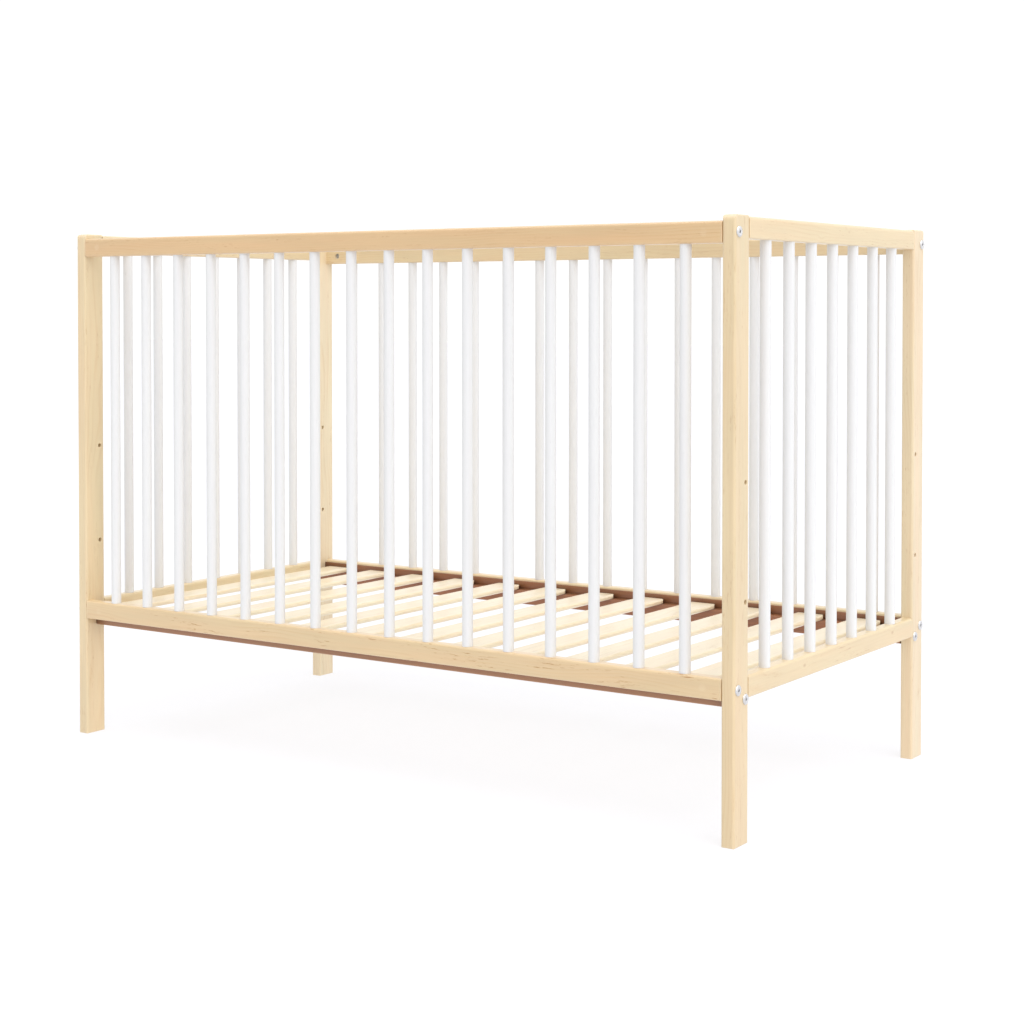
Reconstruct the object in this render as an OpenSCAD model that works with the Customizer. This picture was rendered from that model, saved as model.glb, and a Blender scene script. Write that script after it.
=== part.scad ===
// Baby crib: two glued end frames, two barred side panels and a slatted base that hangs
// between the posts at one of three heights. Millimetres, +Z up, +X along the crib's length.
// The origin is the centre of the floor area between the four posts.

/* [Overall size] */
// Clear length inside, between the two end frames
inner_l = 1200; // [1000:10:1440]
// Clear width inside, between the two side panels
inner_w = 608; // [500:2:760]
// Height of the posts
post_h = 841; // [700:1:1010]

/* [Posts] */
// Thickness of a post, along the crib's length
post_t = 20; // [17:0.5:30]
// Rounding of the long upright edges
post_edge_r = 3.5; // [1:0.5:5]
// Rounding of the top edge that faces outward over the side panel
post_crown_r = 9; // [3:0.5:12]
// Rounding of the other top edges
post_top_r = 3; // [1:0.5:5]
// Rounding of the edges at the floor
foot_r = 1.2; // [0.5:0.1:2]

/* [Rails] */
// Thickness of every rail
rail_t = 20; // [18:0.5:26]
// Height of every rail
rail_h = 30; // [28:0.5:40]
// Height of the undersides of the bottom rails above the floor
bottom_rail_z = 195; // [140:1:240]
// Drop from the post tops down to the top of the side panels
side_top_drop = 8; // [4:0.5:30]
// Drop from the post tops down to the top of the end frames
end_top_drop = 1.5; // [0:0.5:30]
// Rounding of the hand rail edges on top
hand_r = 5; // [2:0.5:6]
// Rounding of the top edges of the bottom rails
bottom_rail_r = 4; // [2:0.5:4]
// Rounding of all the other rail edges
rail_edge_r = 2; // [0.5:0.1:2]

/* [Bars] */
// Diameter of a bar
bar_d = 16; // [13.5:0.5:16]
// Distance from bar to bar, centre to centre
bar_pitch = 72; // [60:0.5:80]
// Least distance from a post to the centre line of the first bar
bar_margin = 48; // [46:1:54]
// Diameter of the turned peg at each end of a bar
peg_d = 11; // [9:0.5:12.5]
// Length of that peg
peg_l = 12; // [10:0.5:16]

/* [Slatted base] */
// Thickness of the two long bearers, across the crib
bearer_t = 20; // [17:0.5:26]
// Height of the bearers
bearer_h = 25; // [22:0.5:34]
// Play between a bearer and the side panel
bearer_side_play = 1; // [0.5:0.1:3]
// Play between the end of a bearer and the post
bearer_end_play = 0.5; // [0.3:0.1:2]
// Depth of the notch that hangs over the sleeve nut
notch_l = 30; // [30:0.5:36]
// Number of slats
slat_count = 12; // [9:1:14]
// Width of a slat
slat_w = 50; // [40:1:60]
// Thickness of a slat
slat_t = 8; // [7.5:0.1:10]
// Distance from the outer face of a bearer to the end of a slat
slat_end_gap = 8; // [6:0.5:10]
// Height of the bearer's lip outside the slat ends, above the underside of the slats
lip_h = 14; // [4:0.5:17]
// Play between the end of a slat and the lip
slat_end_play = 4; // [0.5:0.1:4]
// Distance from the left end of the bearers to the first slat
slat_first = 15; // [8:1:30]
// Distance from the last slat to the right end of the bearers
slat_last = 35; // [10:1:45]
// Rounding of the long edges of a slat
slat_edge_r = 3.5; // [1:0.1:3.5]
// Rounding of the slat's corners, seen from above
slat_corner_r = 12; // [2:0.5:12]

/* [Base heights] */
// Height of the lowest base bolts above the floor
base_bolt_z = 195; // [165:1:240]
// Rise from the lowest to the middle bolt holes
middle_rise = 130; // [100:1:160]
// Rise from the lowest to the top bolt holes
top_rise = 290; // [240:1:350]

/* [Bolts and nuts] */
// Thread diameter of the furniture bolts
bolt_d = 6; // [5:0.5:6.5]
// Diameter of the flat bolt heads
head_d = 15; // [13:0.5:17]
// Thickness of the bolt heads
head_h = 2.2; // [1.8:0.1:3]
// Length of the bolts that hold the side panels
rail_bolt_l = 60; // [54:1:70]
// Length of the bolts that hold the base
base_bolt_l = 40; // [36:1:44]
// Width of the hexagon socket across its corners
socket_d = 4.6; // [4:0.1:5]
// Depth of the hexagon socket
socket_depth = 2.8; // [2:0.1:3.5]
// Diameter of the barrel nuts and sleeve nuts
nut_d = 10; // [9:0.5:11]
// Length of a barrel nut
barrel_nut_l = 14; // [12:0.5:15]
// Distance from the end of a rail to the centre of its barrel nut
barrel_nut_x = 28; // [24:0.5:32]
// Length of a sleeve nut
sleeve_nut_l = 28; // [26:0.5:29]

/* [Slat screws] */
// Thread diameter of the countersunk screws
screw_d = 3.5; // [3:0.1:4]
// Depth that the screws bite into a slat
screw_bite = 5; // [3:0.5:5.5]
// Diameter of the screw heads
screw_head_d = 7; // [6:0.1:7.5]

/* [Dowels] */
// Diameter of the dowels in the end frames
dowel_d = 6; // [5:0.5:7]
// Length of the dowels
dowel_l = 30; // [24:1:34]
// Distance between the two dowels of a joint
dowel_pitch = 13; // [12:0.5:16]

/* [Fits] */
// Radial clearance of a bolt in a plain hole
bolt_clear = 0.5; // [0.3:0.1:0.6]
// Radial clearance of a bolt in its nut
thread_clear = 0.05; // [0.02:0.01:0.1]
// Radial clearance of pegs, dowels, nuts and screws in the wood
wood_clear = 0.1; // [0.05:0.01:0.2]
// Radial clearance of a sleeve nut in the notch of a bearer
notch_clear = 0.1; // [0.05:0.01:0.1]
// Spare depth at the blind end of a hole
hole_spare = 1; // [0.5:0.1:2]

/* [Hidden] */
$fn = 64;
eps = 0.01;

crib_l = inner_l + 2 * post_t;
crib_w = inner_w + 2 * rail_t;
post_w = rail_t + bearer_side_play + bearer_t;

// Centre lines of the side panels, the end frames and the bearers
side_y = crib_w / 2 - rail_t / 2;
end_x = crib_l / 2 - post_t / 2;
bearer_y = crib_w / 2 - post_w + bearer_t / 2;

// Undersides of the top rails, and the top faces of the bottom rails
side_top_z = post_h - side_top_drop - rail_h;
end_top_z = post_h - end_top_drop - rail_h;
bottom_rail_top = bottom_rail_z + rail_h;

// Rails and bars
end_rail_l = crib_w - 2 * post_w;
side_bar_n = 1 + floor((inner_l - 2 * bar_margin) / bar_pitch);
end_bar_n = 1 + floor((end_rail_l - 2 * bar_margin) / bar_pitch);

// Bearers and slats
bearer_l = inner_l - max(0, rail_t - post_t) - 2 * bearer_end_play;
bearer_z = base_bolt_z - bearer_h / 2;
slat_z = bearer_z + bearer_h;
slat_l = crib_w - 2 * (rail_t + bearer_side_play + slat_end_gap);
slat_x0 = -bearer_l / 2 + slat_first + slat_w / 2;
slat_pitch = (bearer_l - slat_first - slat_last - slat_w) / (slat_count - 1);
screw_y = (bearer_y - bearer_t / 2 + slat_l / 2) / 2;
screw_l = bearer_h + screw_bite;
screw_head_h = (screw_head_d - screw_d) / 2 + 1;

// Heights of the bolt holes in a post
rail_bolt_zs = [bottom_rail_z + rail_h / 2, side_top_z + rail_h / 2];
base_hole_zs = [base_bolt_z, base_bolt_z + middle_rise, base_bolt_z + top_rise];
dowel_zs = [for (z = [bottom_rail_z, end_top_z], s = [-1, 1]) z + rail_h / 2 + s * dowel_pitch / 2];

pine = "#EACFA3";
brown_pine = "#AA7750";
white = "#F3F3F6";
steel = "#C9C9CC";
beech = "#D9B98A";

function slat_name(i) = str("slat_", i < 10 ? "0" : "", i);

// ---- Shapes used by several pieces ----

// The sliver that rounding one corner takes away
module corner_cut(r) {
    difference() {
        translate([-1, -1]) square(r + 1);
        translate([r, r]) circle(r);
    }
}

// Rectangle whose corners are rounded by r = [bottom left, bottom right, top right, top left]
module soft_rect(w, h, r) {
    difference() {
        square([w, h]);
        corner_cut(r[0]);
        translate([w, 0]) mirror([1, 0]) corner_cut(r[1]);
        translate([w, h]) rotate(180) corner_cut(r[2]);
        translate([0, h]) mirror([0, 1]) corner_cut(r[3]);
    }
}

// Extrude a (Y, Z) outline along X, centred on x = 0
module along_x(l) {
    translate([-l / 2, 0, 0]) rotate([90, 0, 90]) linear_extrude(l) children();
}

// Extrude an (X, Z) outline along Y, centred on y = 0
module along_y(l) {
    translate([0, l / 2, 0]) rotate([90, 0, 0]) linear_extrude(l) children();
}

// Cylinder along +X and along +Y from the origin
module rod_x(d, l) {
    rotate([0, 90, 0]) cylinder(d = d, h = l);
}

module rod_y(d, l) {
    rotate([-90, 0, 0]) cylinder(d = d, h = l);
}

// The children at a corner of the crib and at its mirror images
module four_corners() {
    for (mx = [0, 1], my = [0, 1]) mirror([mx, 0, 0]) mirror([0, my, 0]) children();
}

module both_ends() {
    for (mx = [0, 1]) mirror([mx, 0, 0]) children();
}

module both_sides() {
    for (my = [0, 1]) mirror([0, my, 0]) children();
}

// ---- Posts ----

// Post of the back right corner; the others are its mirror images
module post_shape() {
    y0 = crib_w / 2 - post_w;
    plan_r = [for (i = [1 : 4]) post_edge_r];
    difference() {
        intersection() {
            translate([inner_l / 2, y0, 0]) linear_extrude(post_h) soft_rect(post_t, post_w, plan_r);
            translate([end_x, y0, 0]) along_x(post_t + 2)
                soft_rect(post_w, post_h, [foot_r, foot_r, post_crown_r, post_top_r]);
            translate([inner_l / 2, y0 + post_w / 2, 0]) along_y(post_w + 2)
                soft_rect(post_t, post_h, [foot_r, foot_r, post_top_r, post_top_r]);
        }
        for (z = rail_bolt_zs)
            translate([inner_l / 2 - 1, side_y, z]) rod_x(bolt_d + 2 * bolt_clear, post_t + 2);
        for (z = base_hole_zs)
            translate([inner_l / 2 - 1, bearer_y, z]) rod_x(bolt_d + 2 * bolt_clear, post_t + 2);
        for (z = dowel_zs)
            translate([end_x, y0 - 1, z]) rod_y(dowel_d + 2 * wood_clear, dowel_l / 2 + hole_spare + 1);
    }
}

module post_back_right() {
    color(pine) post_shape();
}

module post_back_left() {
    color(pine) mirror([1, 0, 0]) post_shape();
}

module post_front_right() {
    color(pine) mirror([0, 1, 0]) post_shape();
}

module post_front_left() {
    color(pine) mirror([1, 0, 0]) mirror([0, 1, 0]) post_shape();
}

// ---- Side panels ----

// Blind holes for the pegs of a row of n bars along X, opening at z = 0 towards +Z
module peg_holes(n) {
    for (i = [0 : n - 1])
        translate([(i - (n - 1) / 2) * bar_pitch, 0, -peg_l - hole_spare])
            cylinder(d = peg_d + 2 * wood_clear, h = peg_l + hole_spare + 1);
}

// Bolt hole and barrel nut hole at both ends of a side rail
module rail_bolt_holes() {
    both_ends() {
        translate([inner_l / 2 - rail_bolt_l + post_t - hole_spare, side_y, rail_h / 2])
            rod_x(bolt_d + 2 * bolt_clear, rail_bolt_l);
        translate([inner_l / 2 - barrel_nut_x, side_y - rail_t / 2 - 1, rail_h / 2])
            rod_y(nut_d + 2 * wood_clear, rail_t / 2 + barrel_nut_l / 2 + wood_clear + 1);
    }
}

// Rail of the back panel, standing on z = 0
module side_rail_shape(top_r) {
    difference() {
        translate([0, side_y - rail_t / 2, 0]) along_x(inner_l)
            soft_rect(rail_t, rail_h, [rail_edge_r, rail_edge_r, top_r, top_r]);
        rail_bolt_holes();
    }
}

module side_bottom_rail() {
    translate([0, 0, bottom_rail_z]) difference() {
        side_rail_shape(bottom_rail_r);
        translate([0, side_y, rail_h]) peg_holes(side_bar_n);
    }
}

module side_top_rail() {
    translate([0, 0, side_top_z]) difference() {
        side_rail_shape(hand_r);
        translate([0, side_y, 0]) mirror([0, 0, 1]) peg_holes(side_bar_n);
    }
}

module back_bottom_rail() {
    color(pine) side_bottom_rail();
}

module back_top_rail() {
    color(pine) side_top_rail();
}

module front_bottom_rail() {
    color(pine) mirror([0, 1, 0]) side_bottom_rail();
}

module front_top_rail() {
    color(pine) mirror([0, 1, 0]) side_top_rail();
}

// ---- End frames ----

// Rail of the right end frame, standing on z = 0
module end_rail_shape(top_r) {
    difference() {
        translate([end_x - rail_t / 2, 0, 0]) along_y(end_rail_l)
            soft_rect(rail_t, rail_h, [rail_edge_r, rail_edge_r, top_r, top_r]);
        both_sides() for (s = [-1, 1])
            translate([end_x, end_rail_l / 2 - dowel_l / 2 - hole_spare, rail_h / 2 + s * dowel_pitch / 2])
                rod_y(dowel_d + 2 * wood_clear, dowel_l / 2 + hole_spare + 1);
    }
}

module end_bottom_rail() {
    translate([0, 0, bottom_rail_z]) difference() {
        end_rail_shape(bottom_rail_r);
        translate([end_x, 0, rail_h]) rotate(90) peg_holes(end_bar_n);
    }
}

module end_top_rail() {
    translate([0, 0, end_top_z]) difference() {
        end_rail_shape(hand_r);
        translate([end_x, 0, 0]) rotate(90) mirror([0, 0, 1]) peg_holes(end_bar_n);
    }
}

module right_bottom_rail() {
    color(pine) end_bottom_rail();
}

module right_top_rail() {
    color(pine) end_top_rail();
}

module left_bottom_rail() {
    color(pine) mirror([1, 0, 0]) end_bottom_rail();
}

module left_top_rail() {
    color(pine) mirror([1, 0, 0]) end_top_rail();
}

// ---- Bars ----

// One bar between z0 and z1, with a peg at each end
module bar(z0, z1) {
    translate([0, 0, z0]) cylinder(d = bar_d, h = z1 - z0);
    translate([0, 0, z0 - peg_l]) cylinder(d = peg_d, h = z1 - z0 + 2 * peg_l);
}

// A row of n bars along X
module bar_row(n, z1) {
    for (i = [0 : n - 1]) translate([(i - (n - 1) / 2) * bar_pitch, 0, 0]) bar(bottom_rail_top, z1);
}

module back_bars() {
    color(white) translate([0, side_y, 0]) bar_row(side_bar_n, side_top_z);
}

module front_bars() {
    color(white) translate([0, -side_y, 0]) bar_row(side_bar_n, side_top_z);
}

module right_bars() {
    color(white) translate([end_x, 0, 0]) rotate(90) bar_row(end_bar_n, end_top_z);
}

module left_bars() {
    color(white) translate([-end_x, 0, 0]) rotate(90) bar_row(end_bar_n, end_top_z);
}

// ---- Slatted base ----

// Notch in the end of a bearer, open downward and at the end, that drops over a sleeve nut
module bearer_notch() {
    d = nut_d + 2 * notch_clear;
    x0 = bearer_l / 2 - notch_l;
    translate([x0, bearer_y, base_bolt_z]) rod_x(d, notch_l + 1);
    translate([x0, bearer_y - d / 2, bearer_z - 1]) cube([notch_l + 1, d, base_bolt_z - bearer_z + 1]);
}

// Place the children under the centre of each slat, on the screw line of the back bearer
module at_screws() {
    for (i = [0 : slat_count - 1]) translate([slat_x0 + i * slat_pitch, screw_y, bearer_z]) children();
}

module screw_holes() {
    at_screws() {
        translate([0, 0, -1]) cylinder(d = screw_d + 2 * wood_clear, h = bearer_h + 2);
        translate([0, 0, -eps])
            cylinder(d1 = screw_head_d + 2 * wood_clear, d2 = screw_d + 2 * wood_clear, h = screw_head_h);
    }
}

// Rebate along the top of a bearer that leaves a lip standing outside the slat ends
module slat_seat() {
    seat_w = bearer_t - slat_end_gap + slat_end_play;
    translate([-bearer_l / 2 - 1, bearer_y - bearer_t / 2 - 1, slat_z])
        cube([bearer_l + 2, seat_w + 1, lip_h + 1]);
}

module bearer_shape() {
    difference() {
        translate([0, bearer_y - bearer_t / 2, bearer_z]) along_x(bearer_l)
            soft_rect(bearer_t, bearer_h + lip_h, [for (i = [1 : 4]) rail_edge_r]);
        slat_seat();
        both_ends() bearer_notch();
        screw_holes();
    }
}

module bearer_back() {
    color(brown_pine) bearer_shape();
}

module bearer_front() {
    color(brown_pine) mirror([0, 1, 0]) bearer_shape();
}

// Slat number i, counted from the left end
module slat(i) {
    edge = [for (k = [1 : 4]) slat_edge_r];
    corner = [for (k = [1 : 4]) slat_corner_r];
    color(pine) translate([slat_x0 + (i - 1) * slat_pitch, 0, slat_z]) difference() {
        intersection() {
            translate([-slat_w / 2, 0, 0]) along_y(slat_l) soft_rect(slat_w, slat_t, edge);
            translate([0, -slat_l / 2, 0]) along_x(slat_w + 2) soft_rect(slat_l, slat_t, edge);
            translate([-slat_w / 2, -slat_l / 2, -1]) linear_extrude(slat_t + 2)
                soft_rect(slat_w, slat_l, corner);
        }
        both_sides() translate([0, screw_y, -1])
            cylinder(d = screw_d + 2 * wood_clear, h = screw_bite + hole_spare + 1);
    }
}

// ---- Fasteners ----

// Furniture bolt along X: the flat head stands outside x = 0 and the shank points to -X
module furniture_bolt(l) {
    rim = head_h / 3;
    difference() {
        union() {
            rod_x(head_d, head_h - rim);
            translate([head_h - rim, 0, 0]) rotate([0, 90, 0])
                cylinder(d1 = head_d, d2 = head_d - 2 * rim, h = rim);
            translate([-l, 0, 0]) rod_x(bolt_d, l + eps);
        }
        translate([head_h - socket_depth, 0, 0]) rotate([0, 90, 0])
            cylinder(d = socket_d, h = socket_depth + 1, $fn = 6);
    }
}

module rail_bolts() {
    color(steel) four_corners() for (z = rail_bolt_zs)
        translate([crib_l / 2, side_y, z]) furniture_bolt(rail_bolt_l);
}

module rail_barrel_nuts() {
    slot_w = 1.2;
    slot_depth = 1.5;
    color(steel) four_corners() for (z = rail_bolt_zs)
        translate([inner_l / 2 - barrel_nut_x, side_y, z]) difference() {
            translate([0, -barrel_nut_l / 2, 0]) rod_y(nut_d, barrel_nut_l);
            translate([-nut_d, 0, 0]) rod_x(bolt_d + 2 * thread_clear, 2 * nut_d);
            translate([-nut_d, -barrel_nut_l / 2 - 1, -slot_w / 2]) cube([2 * nut_d, slot_depth + 1, slot_w]);
        }
}

module base_bolts() {
    color(steel) four_corners() translate([crib_l / 2, bearer_y, base_bolt_z]) furniture_bolt(base_bolt_l);
}

// Sleeve nuts stand on the inner faces of the posts, and the notches of the bearers hang on them
module base_sleeve_nuts() {
    thread_l = base_bolt_l - post_t + hole_spare;
    color(steel) four_corners() translate([inner_l / 2 - sleeve_nut_l, bearer_y, base_bolt_z]) difference() {
        rod_x(nut_d, sleeve_nut_l);
        translate([sleeve_nut_l - thread_l, 0, 0]) rod_x(bolt_d + 2 * thread_clear, thread_l + 1);
    }
}

// Countersunk wood screw standing on its head, with a cross recess
module wood_screw() {
    recess_w = 1;
    recess_depth = 1.6;
    difference() {
        union() {
            cylinder(d1 = screw_head_d, d2 = screw_d, h = screw_head_h);
            cylinder(d = screw_d, h = screw_l - screw_d);
            translate([0, 0, screw_l - screw_d - eps])
                cylinder(d1 = screw_d, d2 = screw_d / 4, h = screw_d + eps);
        }
        for (a = [0, 90]) rotate(a)
            translate([-screw_d / 2, -recess_w / 2, -1]) cube([screw_d, recess_w, recess_depth + 1]);
    }
}

module slat_screws() {
    color(steel) both_sides() at_screws() wood_screw();
}

// Two dowels in every joint between an end rail and a post
module end_dowels() {
    bevel = 0.6;
    color(beech) four_corners() for (z = dowel_zs)
        translate([end_x, end_rail_l / 2 - dowel_l / 2, z]) rotate([-90, 0, 0]) {
            cylinder(d1 = dowel_d - 2 * bevel, d2 = dowel_d, h = bevel);
            translate([0, 0, bevel]) cylinder(d = dowel_d, h = dowel_l - 2 * bevel);
            translate([0, 0, dowel_l - bevel]) cylinder(d1 = dowel_d, d2 = dowel_d - 2 * bevel, h = bevel);
        }
}

post_front_left();
post_front_right();
post_back_left();
post_back_right();
front_top_rail();
front_bottom_rail();
back_top_rail();
back_bottom_rail();
left_top_rail();
left_bottom_rail();
right_top_rail();
right_bottom_rail();
front_bars();
back_bars();
left_bars();
right_bars();
bearer_front();
bearer_back();
for (i = [1 : slat_count]) slat(i);
slat_screws();
rail_bolts();
rail_barrel_nuts();
base_bolts();
base_sleeve_nuts();
end_dowels();
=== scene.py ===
"""Looks of the baby crib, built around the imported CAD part. Metres, +Z up, +X along the crib."""

import math
import random

import bmesh
import bpy
from mathutils import Euler, Matrix, Vector


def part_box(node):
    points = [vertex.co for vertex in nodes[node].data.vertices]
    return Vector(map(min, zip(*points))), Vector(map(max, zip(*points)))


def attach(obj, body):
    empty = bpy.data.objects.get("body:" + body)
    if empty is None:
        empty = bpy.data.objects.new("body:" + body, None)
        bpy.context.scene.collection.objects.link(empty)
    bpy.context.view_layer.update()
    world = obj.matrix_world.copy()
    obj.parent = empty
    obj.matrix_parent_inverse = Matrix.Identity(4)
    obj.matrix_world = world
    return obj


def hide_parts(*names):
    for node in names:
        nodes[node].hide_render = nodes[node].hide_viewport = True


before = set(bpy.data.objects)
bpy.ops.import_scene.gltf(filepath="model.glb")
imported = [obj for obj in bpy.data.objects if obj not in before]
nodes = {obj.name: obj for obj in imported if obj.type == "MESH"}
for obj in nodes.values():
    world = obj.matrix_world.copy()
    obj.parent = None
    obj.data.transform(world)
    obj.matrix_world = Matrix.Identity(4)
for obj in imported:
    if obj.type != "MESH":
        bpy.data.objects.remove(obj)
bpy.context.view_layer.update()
scene = bpy.context.scene

# ---- Camera ----
# A long lens near the height of the hand rails, in front of the right end of the crib. It looks
# almost level, and the lens is shifted so that the posts stay parallel.
EYE = Vector((1.7789, -2.5525, 0.7164))
LOOK_DOWN = math.radians(1.3)
TURN = math.radians(34.191)

camera = bpy.data.objects.new("camera", bpy.data.cameras.new("camera"))
scene.collection.objects.link(camera)
camera.location = EYE
camera.rotation_euler = (math.radians(90) - LOOK_DOWN, 0, TURN)
camera.data.sensor_width = 36
camera.data.lens = 66.664
camera.data.shift_y = -0.1567
camera.data.clip_end = 100
scene.camera = camera


# ---- Studio ----
# A white room with a backlit matt white acrylic floor, as a product table has, so that almost no
# shadow falls on it. One very large soft light stands on the right, a low one behind the right
# end and one hangs overhead.
def linear(hex_colour):
    """An sRGB colour such as "#EACFA3" as linear RGBA."""
    parts = [int(hex_colour[i : i + 2], 16) / 255 for i in (1, 3, 5)]
    return [p / 12.92 if p <= 0.04045 else ((p + 0.055) / 1.055) ** 2.4 for p in parts] + [1]


def add(tree, kind, links=(), settings=(), **attributes):
    """Adds a node. settings are (input, value) pairs and links are (input, output socket) pairs."""
    node = tree.nodes.new(kind)
    for key, value in attributes.items():
        setattr(node, key, value)
    for key, value in settings:
        node.inputs[key].default_value = value
    for key, socket in links:
        tree.links.new(socket, node.inputs[key])
    return node


def new_material(name):
    """A material with its Principled shader: (material, node tree, shader)."""
    material = bpy.data.materials.new(name)
    material.use_nodes = True
    tree = material.node_tree
    return material, tree, tree.nodes["Principled BSDF"]


def object_from(name, mesh):
    """The bmesh as an object at the origin, in the scene."""
    data = bpy.data.meshes.new(name)
    mesh.to_mesh(data)
    mesh.free()
    made = bpy.data.objects.new(name, data)
    scene.collection.objects.link(made)
    return made


FLOOR_SIZE = 30
FLOOR_GLOW = 0.76
floor_mesh = bmesh.new()
bmesh.ops.create_grid(floor_mesh, x_segments=4, y_segments=4, size=FLOOR_SIZE)
floor = object_from("studio_floor", floor_mesh)
backlit_sheet, tree, shader = new_material("backlit_matt_white_acrylic")
shader.inputs["Base Color"].default_value = linear("#88888D")
shader.inputs["Roughness"].default_value = 0.9
shader.inputs["Specular IOR Level"].default_value = 0.0
shader.inputs["Emission Color"].default_value = linear("#FEFEFF")
shader.inputs["Emission Strength"].default_value = FLOOR_GLOW
floor.data.materials.append(backlit_sheet)

# The walls glow, more on the right than on the left. Looked at, or mirrored in a gloss, they are
# brighter than the light they shed.
BRIGHT_SIDE = (0.75, -0.66, 0)
DIM_GLOW, BRIGHT_GLOW, SEEN_GLOW = 0.24, 0.74, 1.08
studio = bpy.data.worlds.new("white_studio")
scene.world = studio
studio.use_nodes = True
sky = studio.node_tree
walls = sky.nodes["Background"]
walls.inputs["Color"].default_value = linear("#FFFFFF")
direction = add(sky, "ShaderNodeTexCoord").outputs["Generated"]
facing = add(sky, "ShaderNodeVectorMath", [(0, direction)], [(1, BRIGHT_SIDE)],
             operation="DOT_PRODUCT")
shed = add(sky, "ShaderNodeMapRange", [("Value", facing.outputs["Value"])],
           [("From Min", -1), ("From Max", 1), ("To Min", DIM_GLOW), ("To Max", BRIGHT_GLOW)])
rays = add(sky, "ShaderNodeLightPath")
looked_at = add(sky, "ShaderNodeMath",
                [(0, rays.outputs["Is Camera Ray"]), (1, rays.outputs["Is Glossy Ray"])],
                operation="MAXIMUM")
glow = add(sky, "ShaderNodeMapRange",
           [("Value", looked_at.outputs[0]), ("To Min", shed.outputs[0])],
           [("To Max", SEEN_GLOW)])
sky.links.new(glow.outputs[0], walls.inputs["Strength"])


def softbox(name, azimuth, height, share, spread, shine=1.0):
    """A very large soft light far off. Azimuth 0 is at -Y and 90 at +X, height is its angle above
    the floor, share what it adds to a white face that looks straight at it, and shine how
    strongly it shows in a gloss."""
    lamp = bpy.data.lights.new(name, "SUN")
    lamp.energy = share * math.pi
    lamp.angle = math.radians(spread)
    lamp.specular_factor = shine
    holder = bpy.data.objects.new(name, lamp)
    scene.collection.objects.link(holder)
    holder.rotation_euler = Euler((math.radians(90 - height), 0, math.radians(azimuth)))


softbox("right_softbox", azimuth=62, height=38, share=0.31, spread=60)
softbox("rear_softbox", azimuth=124, height=16, share=0.08, spread=60, shine=4.0)
softbox("overhead_softbox", azimuth=0, height=88, share=0.57, spread=80)

scene.view_settings.view_transform = "Standard"
scene.view_settings.look = "None"


# ---- Posts ----
# Four solid pine posts, planed, sanded round on the long edges and given a clear satin lacquer.
# Each has two bolts for the side panels and a row of three holes for the base.
MM = 0.001
# Turns that lay local X along the grain of a board that runs along that axis
along_turn = {"X": (0, 0, 0), "Y": (0, 0, -90), "Z": (0, 90, 0)}


def stepped(tree, value, low, high, start, end):
    """value from low to high, mapped to start to end."""
    return add(tree, "ShaderNodeMapRange", [("Value", value)],
               [("From Min", low), ("From Max", high), ("To Min", start), ("To Max", end)])


def near_edge(tree, reach):
    """0 on a flat face, rising to 1 on an outer edge, from that many mm away."""
    depth = add(tree, "ShaderNodeAmbientOcclusion", settings=[("Distance", reach * MM)],
                inside=True, only_local=True, samples=4)
    return stepped(tree, depth.outputs["AO"], 0.95, 0.55, 0.0, 1.0).outputs[0]


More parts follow.
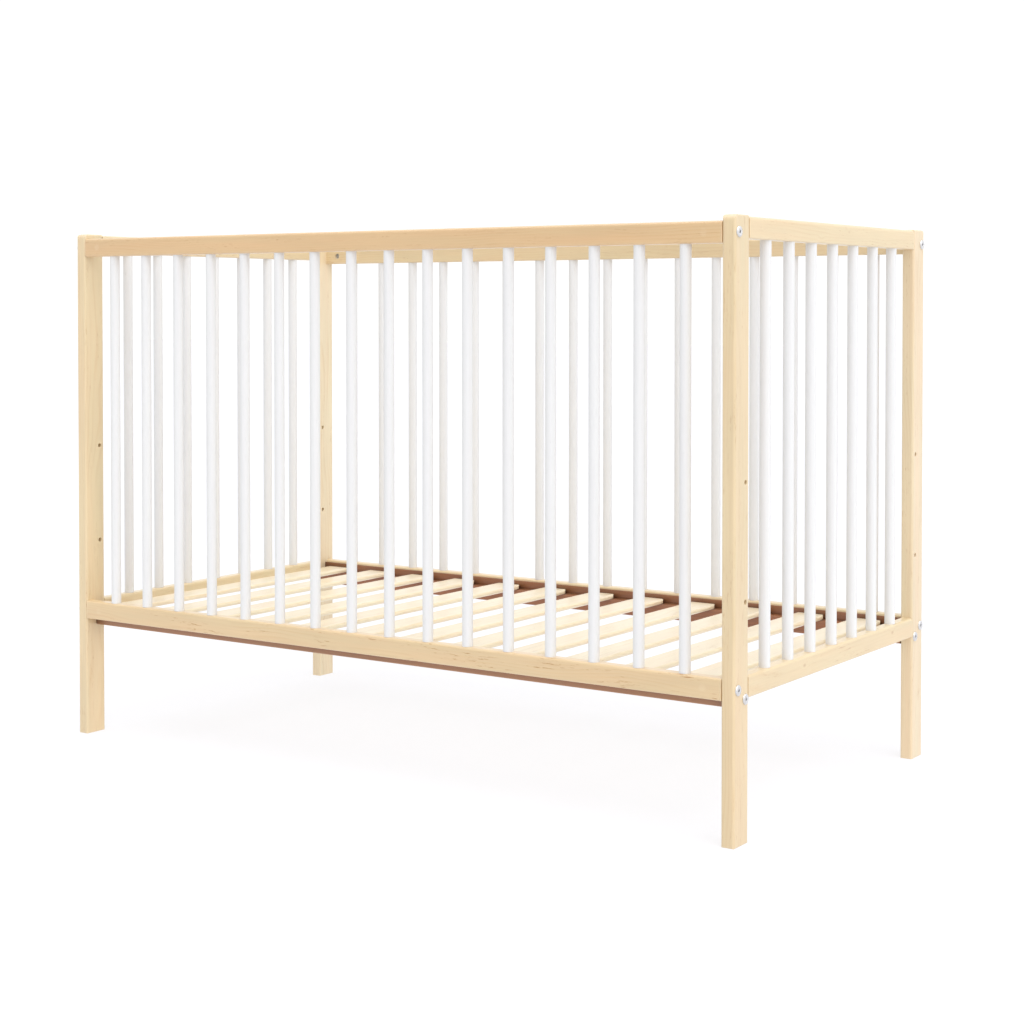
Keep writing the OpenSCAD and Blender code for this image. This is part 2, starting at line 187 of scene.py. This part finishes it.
def pine(name, along, seed, tint="#FFFFFF", pale="#E6D2AE", late="#D9BB8C", ring=4.5, knots=0.0,
         figure=1.0, streaks=1.0, worn="#F3E3C6", darkening=0.0):
    """Clear-lacquered softwood with its grain along that axis.

    The seed picks the part of the trunk. pale and late are the colours within a growth ring, tint
    is the board's own colour, worn its colour where the edges are rubbed, and ring the distance
    between growth rings in mm. knots, figure and streaks say how strongly those show, and darkening
    how much painted shade darkens the corners and hollows, as a dark brown laid over the wood.
    """
    pick = random.Random(seed)
    material, tree, shader = new_material(name)
    coords = add(tree, "ShaderNodeTexCoord")
    board = add(tree, "ShaderNodeMapping", [("Vector", coords.outputs["Object"])],
                [("Rotation", [math.radians(a) for a in along_turn[along]])])
    # Local X runs along the grain, and the pith lies some centimetres off in Y and Z
    pith = (pick.uniform(-9, 9), pick.choice((-1, 1)) * pick.uniform(0.05, 0.12),
            pick.uniform(0.03, 0.09))
    trunk = add(tree, "ShaderNodeMapping", [("Vector", board.outputs[0])], [("Location", pith)])

    def grain_noise(length, width, detail=2.0, roughness=0.5):
        """Noise whose marks are about that long and wide, in mm."""
        stretch = (1000 / length, 1000 / width, 1000 / width)
        drawn = add(tree, "ShaderNodeVectorMath", [(0, trunk.outputs[0])], [(1, stretch)],
                    operation="MULTIPLY")
        return add(tree, "ShaderNodeTexNoise", [("Vector", drawn.outputs[0])],
                   [("Scale", 1.0), ("Detail", detail), ("Roughness", roughness)]).outputs[0]

    def product(first, second):
        return add(tree, "ShaderNodeMath", [(0, first), (1, second)], operation="MULTIPLY").outputs[0]

    # Growth rings: distance from the pith, swept along the board and bent round the knots
    sweep, knot_bend = 0.035, 0.005
    knots_per_metre = (20, 34, 34)
    flat = add(tree, "ShaderNodeVectorMath", [(0, trunk.outputs[0])], [(1, (0, 1, 1))],
               operation="MULTIPLY")
    radius = add(tree, "ShaderNodeVectorMath", [(0, flat.outputs[0])], operation="LENGTH")
    swept = add(tree, "ShaderNodeMath", [(0, grain_noise(300, 70)), (2, radius.outputs["Value"])],
                [(1, sweep)], operation="MULTIPLY_ADD")
    cells = add(tree, "ShaderNodeVectorMath", [(0, trunk.outputs[0])], [(1, knots_per_metre)],
                operation="MULTIPLY")
    knot = add(tree, "ShaderNodeTexVoronoi", [("Vector", cells.outputs[0])], [("Scale", 1.0)])
    knot_pull = stepped(tree, knot.outputs[0], 0.0, 0.32, knot_bend * knots, 0.0)
    bent = add(tree, "ShaderNodeMath", [(0, swept.outputs[0]), (1, knot_pull.outputs[0])],
               operation="ADD")
    phase = add(tree, "ShaderNodeMath", [(0, bent.outputs[0])], [(1, 1 / (ring * MM))],
                operation="MULTIPLY")
    rings = add(tree, "ShaderNodeMath", [(0, phase.outputs[0])], operation="FRACT")
    late_wood = add(tree, "ShaderNodeValToRGB", [("Fac", rings.outputs[0])])
    late_wood.color_ramp.interpolation = "EASE"
    late_wood.color_ramp.elements[0].color = (0, 0, 0, 1)
    late_wood.color_ramp.elements[1].color = (0, 0, 0, 1)
    for place, value in ((0.40, 0.15), (0.80, 1.0), (0.92, 0.55)):
        late_wood.color_ramp.elements.new(place).color = (value, value, value, 1)
    figured = stepped(tree, grain_noise(160, 20), 0.42, 0.66, 0.05 * figure, 0.34 * figure)
    ringed = add(tree, "ShaderNodeMix",
                 [("Factor", product(late_wood.outputs[0], figured.outputs[0]))], data_type="RGBA")
    ringed.inputs["A"].default_value = linear(pale)
    ringed.inputs["B"].default_value = linear(late)

    # Short resin streaks about 12 mm long, in loose groups that follow the late wood, and the
    # hearts of the knots
    resin_brown = "#BC8F58"
    streak = stepped(tree, grain_noise(12, 1.5), 0.56, 0.66, 0.0, 1.0)
    grouped = stepped(tree, grain_noise(90, 12), 0.50, 0.64, 0.0, 0.50 * streaks)
    in_late = stepped(tree, late_wood.outputs[0], 0.0, 0.8, 0.25, 1.0)
    resin = product(product(streak.outputs[0], grouped.outputs[0]), in_late.outputs[0])
    heart = stepped(tree, knot.outputs[0], 0.04, 0.12, 0.5 * knots, 0.0)
    marks = add(tree, "ShaderNodeMath", [(0, resin), (1, heart.outputs[0])], operation="MAXIMUM")
    marked = add(tree, "ShaderNodeMix",
                 [("Factor", marks.outputs[0]), ("A", ringed.outputs["Result"])], data_type="RGBA")
    marked.inputs["B"].default_value = linear(resin_brown)

    # Fibres: real ones are a few hundredths of a millimetre wide, drawn near 1 mm so they show,
    # and broad pinkish and greenish patches along the board
    fibres = grain_noise(45, 1.3, detail=3.0, roughness=0.6)
    shade = product(stepped(tree, fibres, 0.3, 0.7, 0.98, 1.02).outputs[0],
                    stepped(tree, grain_noise(200, 26), 0.3, 0.7, 0.965, 1.035).outputs[0])
    shaded = add(tree, "ShaderNodeVectorMath", [(0, marked.outputs["Result"]), (1, shade)],
                 operation="MULTIPLY")
    pinkish, greenish = "#FDF0E4", "#F4F9F2"
    hue = add(tree, "ShaderNodeMix", [("Factor", grain_noise(260, 24))], data_type="RGBA")
    hue.inputs["A"].default_value = linear(pinkish)
    hue.inputs["B"].default_value = linear(greenish)
    hued = add(tree, "ShaderNodeVectorMath", [(0, shaded.outputs[0]), (1, hue.outputs["Result"])],
               operation="MULTIPLY")
    tinted = add(tree, "ShaderNodeVectorMath", [(0, hued.outputs[0])],
                 [(1, linear(tint)[:3])], operation="MULTIPLY")

    # Sanding breaks through the lacquer's tint at the edges: paler there, in uneven lengths, and
    # rubbed a little smoother by hands
    edge = near_edge(tree, 3.5)
    rubbed = product(edge, stepped(tree, grain_noise(60, 8), 0.35, 0.65, 0.25, 1.0).outputs[0])
    pale_edge = add(tree, "ShaderNodeMix",
                    [("Factor", stepped(tree, rubbed, 0.0, 1.0, 0.0, 0.30).outputs[0]),
                     ("A", tinted.outputs[0])], data_type="RGBA")
    pale_edge.inputs["B"].default_value = linear(worn)
    surface = pale_edge.outputs["Result"]
    # Painted shade: where occlusion finds corners and hollows, the colour is pulled towards a dark
    # brown that stands in for the shadow falling there
    if darkening > 0:
        painted_shade_brown = "#4A2C18"
        corners = add(tree, "ShaderNodeAmbientOcclusion", settings=[("Distance", 30 * MM)], samples=6)
        painted_shade_mask = stepped(tree, corners.outputs["AO"], 0.70, 0.25, 0.0, darkening)
        painted_shade = add(tree, "ShaderNodeMix", [("Factor", painted_shade_mask.outputs[0]), ("A", surface)],
                           data_type="RGBA")
        painted_shade.inputs["B"].default_value = linear(painted_shade_brown)
        surface = painted_shade.outputs["Result"]
    tree.links.new(surface, shader.inputs["Base Color"])

    rough = stepped(tree, fibres, 0.3, 0.7, 0.50, 0.40)
    smoothed = product(rough.outputs[0], stepped(tree, rubbed, 0.0, 1.0, 1.0, 0.85).outputs[0])
    tree.links.new(smoothed, shader.inputs["Roughness"])
    bump = add(tree, "ShaderNodeBump", [("Height", fibres)],
               [("Strength", 0.15), ("Distance", 0.0002)])
    tree.links.new(bump.outputs[0], shader.inputs["Normal"])
    shader.inputs["IOR"].default_value = 1.5
    shader.inputs["Coat Weight"].default_value = 0.85
    shader.inputs["Coat Roughness"].default_value = 0.28
    shader.inputs["Coat IOR"].default_value = 1.5
    return material


def finish_node(node, material):
    """The CAD node shows this material."""
    nodes[node].data.materials.clear()
    nodes[node].data.materials.append(material)


posts = (("post_front_left", "#E9D5B2"), ("post_front_right", "#E6D2AF"),
         ("post_back_left", "#F0E1C5"), ("post_back_right", "#EBD8BA"))
for seed, (node, pale) in enumerate(posts):
    finish_node(node, pine("clear_lacquered_pine_" + node, "Z", seed, pale=pale))

# ---- Rails ----
# Pine rails: the side rails are bolted between the posts, the end rails are glued on dowels.
# The hand rails are rounded on top.
side_rails = (("front_top_rail", "#F8E9DB", 1.0), ("front_bottom_rail", "#FEF8F3", 2.2),
              ("back_top_rail", "#FFFEFC", 1.0), ("back_bottom_rail", "#FFFEFC", 1.0))
for seed, (node, tint, streaks) in enumerate(side_rails):
    finish_node(node, pine("clear_lacquered_pine_" + node, "X", 10 + seed, tint=tint,
                           streaks=streaks))
end_rails = ("left_top_rail", "left_bottom_rail", "right_top_rail", "right_bottom_rail")
for seed, node in enumerate(end_rails):
    finish_node(node, pine("clear_lacquered_pine_" + node, "Y", 20 + seed, knots=1.0))

# ---- Bars ----
# Turned beech bars under an opaque white satin lacquer, glued into blind holes in the rails.
# The lacquer is smooth, and the wood shows through only as faint long ripples. Hands have rubbed
# some patches a little glossier and left faint grey scuffs.
LACQUER_LOW, LACQUER_HIGH, SCUFF = "#E6E6E6", "#E9E9E9", "#C9C8C6"
white_lacquer, tree, shader = new_material("sprayed_white_satin_lacquer_on_beech")
place = add(tree, "ShaderNodeTexCoord").outputs["Object"]


def bar_noise(length, width, detail):
    """Noise whose marks are about that long up a bar and that wide round it, in mm."""
    drawn = add(tree, "ShaderNodeVectorMath", [(0, place)],
                [(1, (1000 / width, 1000 / width, 1000 / length))], operation="MULTIPLY")
    return add(tree, "ShaderNodeTexNoise", [("Vector", drawn.outputs[0])],
               [("Scale", 1.0), ("Detail", detail), ("Roughness", 0.5)]).outputs[0]


ripple = bar_noise(length=55, width=2.4, detail=2.0)
lacquer_shade = add(tree, "ShaderNodeMix",
                    [("Factor", stepped(tree, ripple, 0.3, 0.7, 0.0, 1.0).outputs[0])],
                    data_type="RGBA")
lacquer_shade.inputs["A"].default_value = linear(LACQUER_LOW)
lacquer_shade.inputs["B"].default_value = linear(LACQUER_HIGH)
scuff_marks = bar_noise(length=14, width=1.2, detail=3.0)
scuffs = stepped(tree, scuff_marks, 0.66, 0.76, 0.0, 0.35)
scuffed = add(tree, "ShaderNodeMix",
              [("Factor", scuffs.outputs[0]), ("A", lacquer_shade.outputs["Result"])],
              data_type="RGBA")
scuffed.inputs["B"].default_value = linear(SCUFF)
tree.links.new(scuffed.outputs["Result"], shader.inputs["Base Color"])
touched = bar_noise(length=90, width=25, detail=2.0)
handled = stepped(tree, touched, 0.35, 0.65, 0.53, 0.43)
tree.links.new(handled.outputs[0], shader.inputs["Roughness"])
bump = add(tree, "ShaderNodeBump", [("Height", ripple)], [("Strength", 0.2), ("Distance", 0.0001)])
tree.links.new(bump.outputs[0], shader.inputs["Normal"])
shader.inputs["IOR"].default_value = 1.42
for node in ("front_bars", "back_bars", "left_bars", "right_bars"):
    finish_node(node, white_lacquer)

# ---- Slatted base ----
# Two long bearers of pine wiped with a brown stain carry twelve pale pine slats with rounded
# edges. The slats lie in a rebate along each bearer and are screwed on from below.
# Both bearers carry a real brown stain, but the back bearer's browns are darker than the front one's
# as painted shade, for the shadow behind the slat ends
bearers = (("bearer_front", "#AA7750", "#905C38"), ("bearer_back", "#985C32", "#784522"))
# The bearers get painted shade in their corners and hollows
for seed, (node, pale, late) in enumerate(bearers):
    finish_node(node, pine("brown_stained_pine_" + node, "X", 30 + seed, pale=pale, late=late,
                           worn="#B98A66", figure=1.6, darkening=1.0))
for count in range(1, 13):
    node = f"slat_{count:02d}"
    finish_node(node, pine("clear_lacquered_pine_" + node, "Y", 40 + count, pale="#F3E6CC"))

# ---- Bolts ----
# Nickel-plated steel furniture bolts, M6 with flat 15 mm heads and a hexagon socket. Eight hold
# the side panels between the posts and four more carry the base.
HEAD_R, HEAD_H, SHANK_R = 7.5, 2.2, 3.0
SOCKET_R, SOCKET_DEPTH = 2.3, 2.8


def bolt_mesh(shank_l):
    """One bolt along X with the underside of its head at x = 0, in mm."""
    floor_x = HEAD_H - SOCKET_DEPTH
    outline = [(0, floor_x - 0.5), (SOCKET_R - 0.05, floor_x), (SOCKET_R, HEAD_H - 0.35),
               (SOCKET_R + 0.35, HEAD_H), (5.6, HEAD_H), (6.5, 2.0), (7.1, 1.65), (7.4, 1.2),
               (HEAD_R, 0.8), (HEAD_R, 0.3), (7.2, 0.0), (SHANK_R + 0.3, 0.0), (SHANK_R, -0.4)]
    thread_start, thread_end = -0.35 * shank_l, -shank_l + 1
    pitch = 1.0
    turns = int((thread_start - thread_end) / pitch)
    for turn in range(turns):
        x = thread_start - turn * pitch
        outline += [(SHANK_R, x), (SHANK_R, x - 0.15), (SHANK_R - 0.5, x - 0.55)]
    outline += [(SHANK_R - 0.1, thread_end), (SHANK_R - 0.9, -shank_l), (0, -shank_l)]
    around = 48
    mesh = bmesh.new()
    points = [mesh.verts.new((x, r, 0)) for r, x in outline]
    for first, second in zip(points, points[1:]):
        mesh.edges.new((first, second))
    bmesh.ops.spin(mesh, geom=mesh.verts[:] + mesh.edges[:], cent=(0, 0, 0), axis=(1, 0, 0),
                   angle=2 * math.pi, steps=around, use_merge=True)
    bmesh.ops.remove_doubles(mesh, verts=mesh.verts[:], dist=0.001)
    # The round socket is pulled out to a hexagon
    for vert in mesh.verts:
        r = math.hypot(vert.co.y, vert.co.z)
        if 0.5 < r < SOCKET_R + 0.01 and vert.co.x > floor_x - 0.1:
            sixth = math.atan2(vert.co.z, vert.co.y) % math.radians(60) - math.radians(30)
            pulled = math.cos(math.radians(30)) / math.cos(sixth)
            vert.co.y *= pulled
            vert.co.z *= pulled
    bmesh.ops.recalc_face_normals(mesh, faces=mesh.faces[:])
    for face in mesh.faces:
        face.smooth = True
    for line in mesh.edges:
        if len(line.link_faces) == 2 and line.calc_face_angle() > math.radians(38):
            line.smooth = False
    return mesh


def bolts_like(node, shank_l):
    """Smooth bolts in the places of that node's, with their heads on the outer post faces."""
    low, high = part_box(node)
    one = bolt_mesh(shank_l)
    all_bolts = bmesh.new()
    heights = sorted({round(low.z / MM + HEAD_R, 2), round(high.z / MM - HEAD_R, 2)})
    for side in (-1, 1):
        for y in (low.y / MM + HEAD_R, high.y / MM - HEAD_R):
            for z in heights:
                copy = one.copy()
                turn = Matrix.Rotation(math.radians(0 if side > 0 else 180), 4, "Z")
                # Each bolt stopped at its own angle when it was tightened
                twist = Matrix.Rotation(math.radians(17 * side + 0.3 * z + 0.1 * y), 4, "X")
                place = Matrix.Translation(Vector((side * (high.x / MM - HEAD_H), y, z)))
                bmesh.ops.transform(copy, matrix=Matrix.Scale(MM, 4) @ place @ turn @ twist,
                                    verts=copy.verts[:])
                held = bpy.data.meshes.new("held")
                copy.to_mesh(held)
                all_bolts.from_mesh(held)
                bpy.data.meshes.remove(held)
                copy.free()
    one.free()
    return object_from("nickel_" + node, all_bolts)


def plated_steel(name, base, darkening, roughness):
    """Plated steel, tumbled before plating: fine dull mottling, a fine grain and rubbed rims."""
    material, tree, shader = new_material(name)
    coords = add(tree, "ShaderNodeTexCoord")

    def mottling(size, detail):
        """Noise with blots about that many mm wide."""
        return add(tree, "ShaderNodeTexNoise", [("Vector", coords.outputs["Object"])],
                   [("Scale", 1000 / size), ("Detail", detail), ("Roughness", 0.55)]).outputs[0]

    blots = stepped(tree, mottling(3.5, 3.0), 0.35, 0.70, 0.0, 0.7)
    grain = mottling(0.25, 2.0)
    colour = add(tree, "ShaderNodeMix", [("Factor", blots.outputs[0])], data_type="RGBA")
    colour.inputs["A"].default_value = linear(base)
    colour.inputs["B"].default_value = linear(darkening)
    rim = near_edge(tree, 0.8)
    bright = add(tree, "ShaderNodeMix", [("Factor", rim), ("A", colour.outputs["Result"])],
                 data_type="RGBA")
    bright.inputs["B"].default_value = linear("#F0F0F2")
    tree.links.new(bright.outputs["Result"], shader.inputs["Base Color"])
    shader.inputs["Metallic"].default_value = 1
    rough = stepped(tree, mottling(1.2, 3.0), 0.3, 0.7, roughness - 0.05, roughness + 0.08)
    tree.links.new(rough.outputs[0], shader.inputs["Roughness"])
    bump = add(tree, "ShaderNodeBump", [("Height", grain)],
               [("Strength", 0.15), ("Distance", 0.00003)])
    tree.links.new(bump.outputs[0], shader.inputs["Normal"])
    return material


nickel = plated_steel("tumbled_nickel_plated_steel", "#DEDEE0", "#C6C4C2", 0.26)
for node, shank_l in (("rail_bolts", 60), ("base_bolts", 40)):
    made = bolts_like(node, shank_l)
    made.data.materials.append(nickel)
    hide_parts(node)
    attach(made, "frame")

# ---- Nuts, screws and dowels ----
# Turned zinc-plated barrel nuts lie across the rails and sleeve nuts sit in the bearer notches.
# Yellow-zinc countersunk screws hold the slats and beech dowels line up the glued end frames.
zinc = plated_steel("turned_zinc_plated_steel_nuts", "#AEB2B8", "#8F9296", 0.36)
finish_node("rail_barrel_nuts", zinc)
finish_node("base_sleeve_nuts", zinc)
yellow_zinc = plated_steel("yellow_zinc_plated_steel_screws", "#C9B27A", "#A58F6A", 0.32)
finish_node("slat_screws", yellow_zinc)
finish_node("end_dowels", pine("turned_beech_dowels", "Y", 60, pale="#E0BE95", late="#CDA276",
                               ring=2.5, streaks=1.6))
